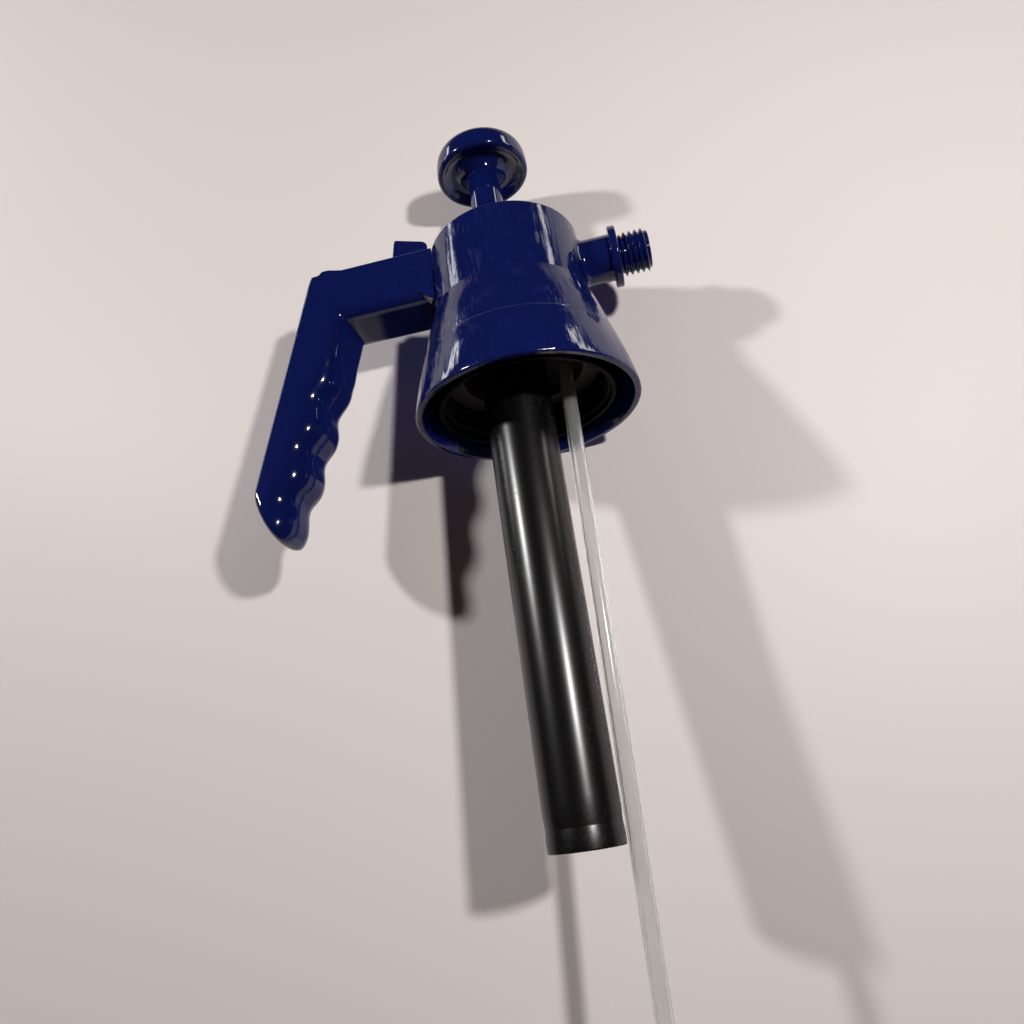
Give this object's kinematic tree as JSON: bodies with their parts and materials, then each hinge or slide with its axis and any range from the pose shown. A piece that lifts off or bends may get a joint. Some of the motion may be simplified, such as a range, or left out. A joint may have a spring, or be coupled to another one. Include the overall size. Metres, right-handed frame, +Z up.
{
  "type": "sprayer pump head",
  "caption": "Hand-pumped bottle sprayer head with a barrel air pump, finger-grooved handle, thumb trigger, threaded outlet and dip tube.",
  "frame": {"origin": "centre of the bottle neck opening, on the plane of the skirt's lower rim", "axes": "+Z up the head axis towards the pump knob, -X towards the handle, +X out through the nozzle thread"},
  "size_m": [0.1376, 0.072, 0.3108],
  "materials": {
    "blue_plastic": "glossy injection-moulded navy blue polypropylene",
    "black_plastic": "satin black extruded and moulded plastic",
    "rubber": "black nitrile rubber",
    "steel": "stainless steel wire and turned pins",
    "clear_tube": "translucent natural polyethylene tube"
  },
  "bodies": {
    "root": {"head_shell": "blue_plastic", "inner_body": "black_plastic", "neck_gasket": "rubber", "handle": "blue_plastic", "trigger_pin": "steel", "outlet_spigot": "blue_plastic", "valve_spring": "steel", "spring_stop": "steel", "stem_o_ring": "rubber", "pump_barrel": "black_plastic", "barrel_seal": "rubber", "gland_nut": "blue_plastic", "gland_seal": "rubber", "foot_valve": "black_plastic", "disc_cage": "black_plastic", "dip_tube": "clear_tube"},
    "trigger": {"trigger": "blue_plastic"},
    "valve": {"valve_link": "blue_plastic", "valve_stem": "steel", "valve_washer": "rubber"},
    "piston_ring": {"piston_ring": "rubber"},
    "plunger": {"pump_rod": "blue_plastic", "knob": "blue_plastic", "piston": "black_plastic"},
    "check_disc": {"check_disc": "rubber"}
  },
  "joints": [
    {"name": "trigger_press", "type": "hinge", "parent": "root", "child": "trigger", "pos_m": [-0.0273, 0, 0.058], "axis": [0, -1, 0], "range_deg": [0, 14], "stiffness_Nm_per_rad": 0.3, "springref_deg": -6.88},
    {"name": "valve_slide", "type": "slide", "parent": "root", "child": "valve", "axis": [1, 0, 0], "range_m": [0, 0.0021], "deforming": ["valve_spring"]},
    {"name": "pump_stroke", "type": "slide", "parent": "root", "child": "piston_ring", "axis": [0, 0, 1], "range_m": [-0.0262, 0.12]},
    {"name": "plunger_twist", "type": "hinge", "parent": "piston_ring", "child": "plunger", "pos_m": [-0.0031, 0, 0.098], "axis": [0, 0, 1], "continuous": true},
    {"name": "check_disc_lift", "type": "slide", "parent": "root", "child": "check_disc", "axis": [0, 0, 1], "range_m": [0, 0.0014]}
  ],
  "couplings": [
    {"joint": "valve_slide", "follows": "trigger_press", "m_per_rad": 0.0082}
  ]
}
